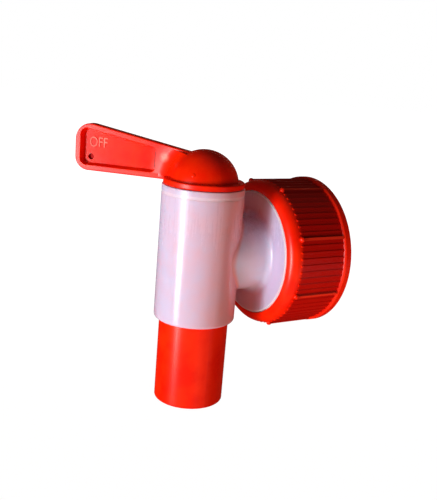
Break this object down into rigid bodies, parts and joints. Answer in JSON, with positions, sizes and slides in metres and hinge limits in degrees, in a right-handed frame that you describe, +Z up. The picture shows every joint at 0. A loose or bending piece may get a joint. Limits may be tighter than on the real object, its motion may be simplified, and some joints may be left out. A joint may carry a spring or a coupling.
{
  "type": "jerrycan tap",
  "caption": "Screw-on dispensing tap: a ribbed cap on a side neck, and an upright barrel whose lever turns a plug that is also the spout.",
  "frame": {"origin": "centre of the gasket's outer face on the neck's axis, where the jerrycan's rim seats", "axes": "+Y along the neck's axis into the jerrycan, +Z up along the barrel, +X to the right seen from the spout's side"},
  "size_m": [0.0667, 0.0876, 0.1024],
  "materials": {
    "natural_plastic": "milky translucent moulded plastic, satin gloss",
    "gasket_foam": "white closed-cell foam",
    "red_plastic": "glossy moulded plastic"
  },
  "bodies": {
    "tap": {"tap_body": "natural_plastic", "flange_gasket": "gasket_foam"},
    "plug": {"rotor": "red_plastic"},
    "cap": {"collar_nut": "red_plastic"}
  },
  "joints": [
    {"name": "tap_turn", "type": "hinge", "parent": "tap", "child": "plug", "pos_m": [0, -0.031, 0], "axis": [0, 0, 1], "range_deg": [0, 90]},
    {"name": "nut_spin", "type": "hinge", "parent": "tap", "child": "cap", "pos_m": [0, 0, 0], "axis": [0, 1, 0], "continuous": true}
  ]
}
